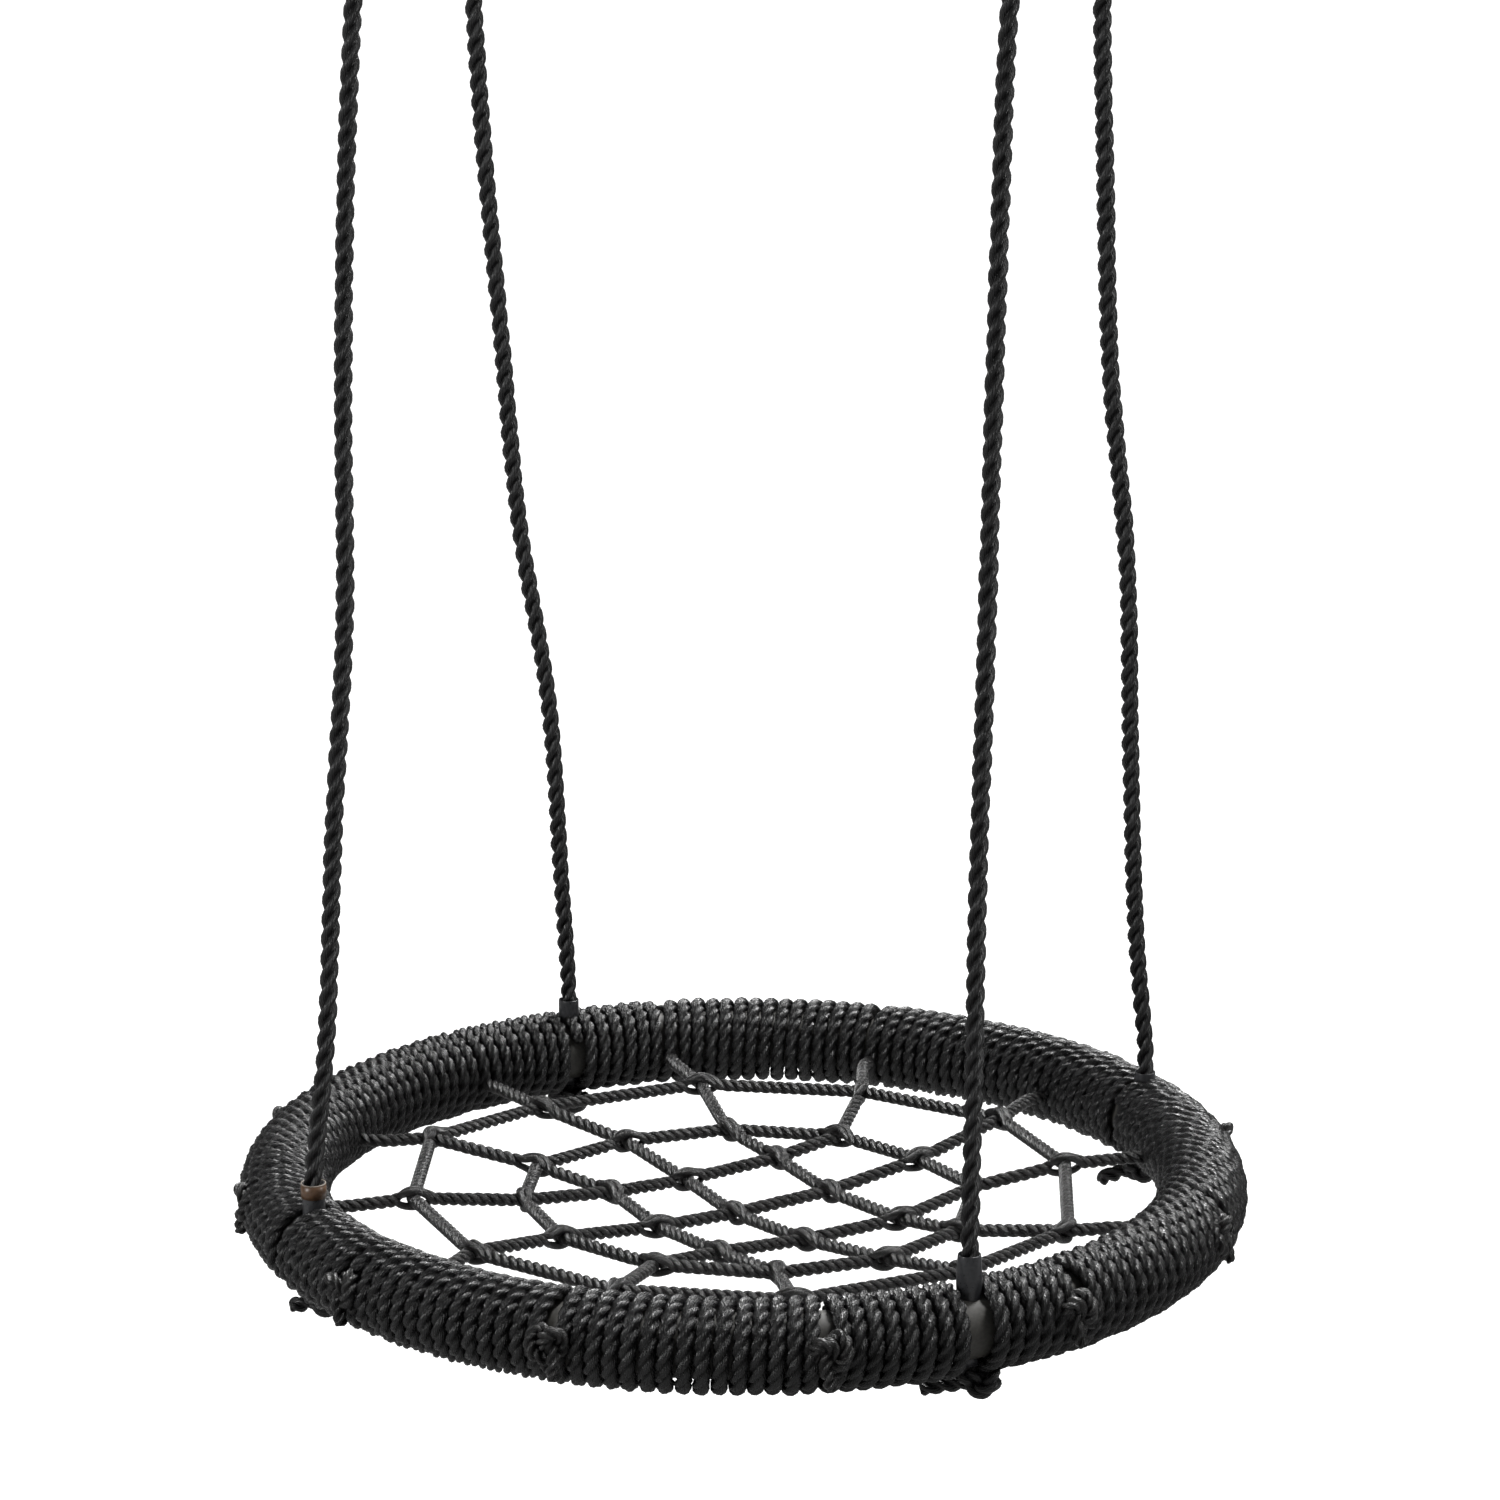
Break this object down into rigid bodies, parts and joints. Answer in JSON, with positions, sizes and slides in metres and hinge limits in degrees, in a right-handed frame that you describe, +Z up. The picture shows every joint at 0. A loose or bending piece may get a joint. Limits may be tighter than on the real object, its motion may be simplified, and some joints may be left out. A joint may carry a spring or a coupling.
{
  "type": "saucer nest swing",
  "caption": "Round nest swing: steel ring wrapped in black rope, knotted rope net seat, hung on paired twisted ropes from fixed hanger plates.",
  "frame": {"origin": "midway between the two hanger pins, on the axis that the swing turns about", "axes": "+X along the hang axis, +Y the way it swings, +Z up"},
  "size_m": [1.0516, 1.0516, 2.1247],
  "materials": {
    "black_rope": "twisted black polyethylene rope, faint satin sheen on the crests of the strands",
    "black_hose": "smooth black hose, soft satin",
    "grey_tube": "dull grey galvanised tube",
    "brown_tape": "brown adhesive tape, worn and dull",
    "zinc_steel": "zinc plated forged steel, lightly worn"
  },
  "bodies": {
    "hangers": {"hanger_plate_left": "zinc_steel", "hanger_plate_right": "zinc_steel"},
    "hanger_eyes": {"hanger_eye_left": "zinc_steel", "hanger_eye_right": "zinc_steel"},
    "ropes_left": {"link_left": "zinc_steel", "thimble_front_left": "zinc_steel", "rope_eye_front_left": "black_rope", "eye_seizing_front_left": "black_rope", "hanging_rope_front_left": "black_rope", "thimble_back_left": "zinc_steel", "rope_eye_back_left": "black_rope", "eye_seizing_back_left": "black_rope", "hanging_rope_back_left": "black_rope"},
    "ring": {"ring_tube": "grey_tube", "rope_wrap_right": "black_rope", "rope_wrap_back": "black_rope", "rope_wrap_left": "black_rope", "rope_wrap_front": "black_rope", "tape_collar": "brown_tape", "sleeve_front_left": "black_hose", "sleeve_back_left": "black_hose", "sleeve_front_right": "black_hose", "sleeve_back_right": "black_hose", "stopper_knot_front_left": "black_rope", "stopper_knot_back_left": "black_rope", "stopper_knot_front_right": "black_rope", "stopper_knot_back_right": "black_rope", "net_cord_upper_1": "black_rope", "net_cord_upper_2": "black_rope", "net_cord_upper_3": "black_rope", "net_cord_lower_1": "black_rope", "net_cord_lower_2": "black_rope", "net_cord_lower_3": "black_rope", "net_inner_ring": "black_rope", "net_border_ring": "black_rope", "net_knot_000": "black_rope", "net_knot_030": "black_rope", "net_knot_060": "black_rope", "net_knot_090": "black_rope", "net_knot_120": "black_rope", "net_knot_150": "black_rope", "net_knot_180": "black_rope", "net_knot_210": "black_rope", "net_knot_240": "black_rope", "net_knot_270": "black_rope", "net_knot_300": "black_rope", "net_knot_330": "black_rope"},
    "ropes_right": {"link_right": "zinc_steel", "thimble_front_right": "zinc_steel", "rope_eye_front_right": "black_rope", "eye_seizing_front_right": "black_rope", "hanging_rope_front_right": "black_rope", "thimble_back_right": "zinc_steel", "rope_eye_back_right": "black_rope", "eye_seizing_back_right": "black_rope", "hanging_rope_back_right": "black_rope"}
  },
  "joints": [
    {"name": "swing", "type": "hinge", "parent": "hangers", "child": "hanger_eyes", "pos_m": [0, 0, 0], "axis": [1, 0, 0], "range_deg": [-50, 50]},
    {"name": "sway_left", "type": "hinge", "parent": "hanger_eyes", "child": "ropes_left", "pos_m": [-0.32173, 0, -0.0371], "axis": [0, 1, 0], "range_deg": [-10, 10]},
    {"name": "ring_level", "type": "hinge", "parent": "ropes_left", "child": "ring", "pos_m": [-0.32173, 0, -1.928], "axis": [0, 1, 0], "range_deg": [-10.2, 10.2]},
    {"name": "sway_right", "type": "hinge", "parent": "ring", "child": "ropes_right", "pos_m": [0.32173, 0, -1.928], "axis": [0, 1, 0], "range_deg": [-10.2, 10.2]}
  ],
  "couplings": [
    {"joint": "ring_level", "follows": "sway_left", "ratio": -1},
    {"joint": "sway_right", "follows": "sway_left", "ratio": 1}
  ]
}
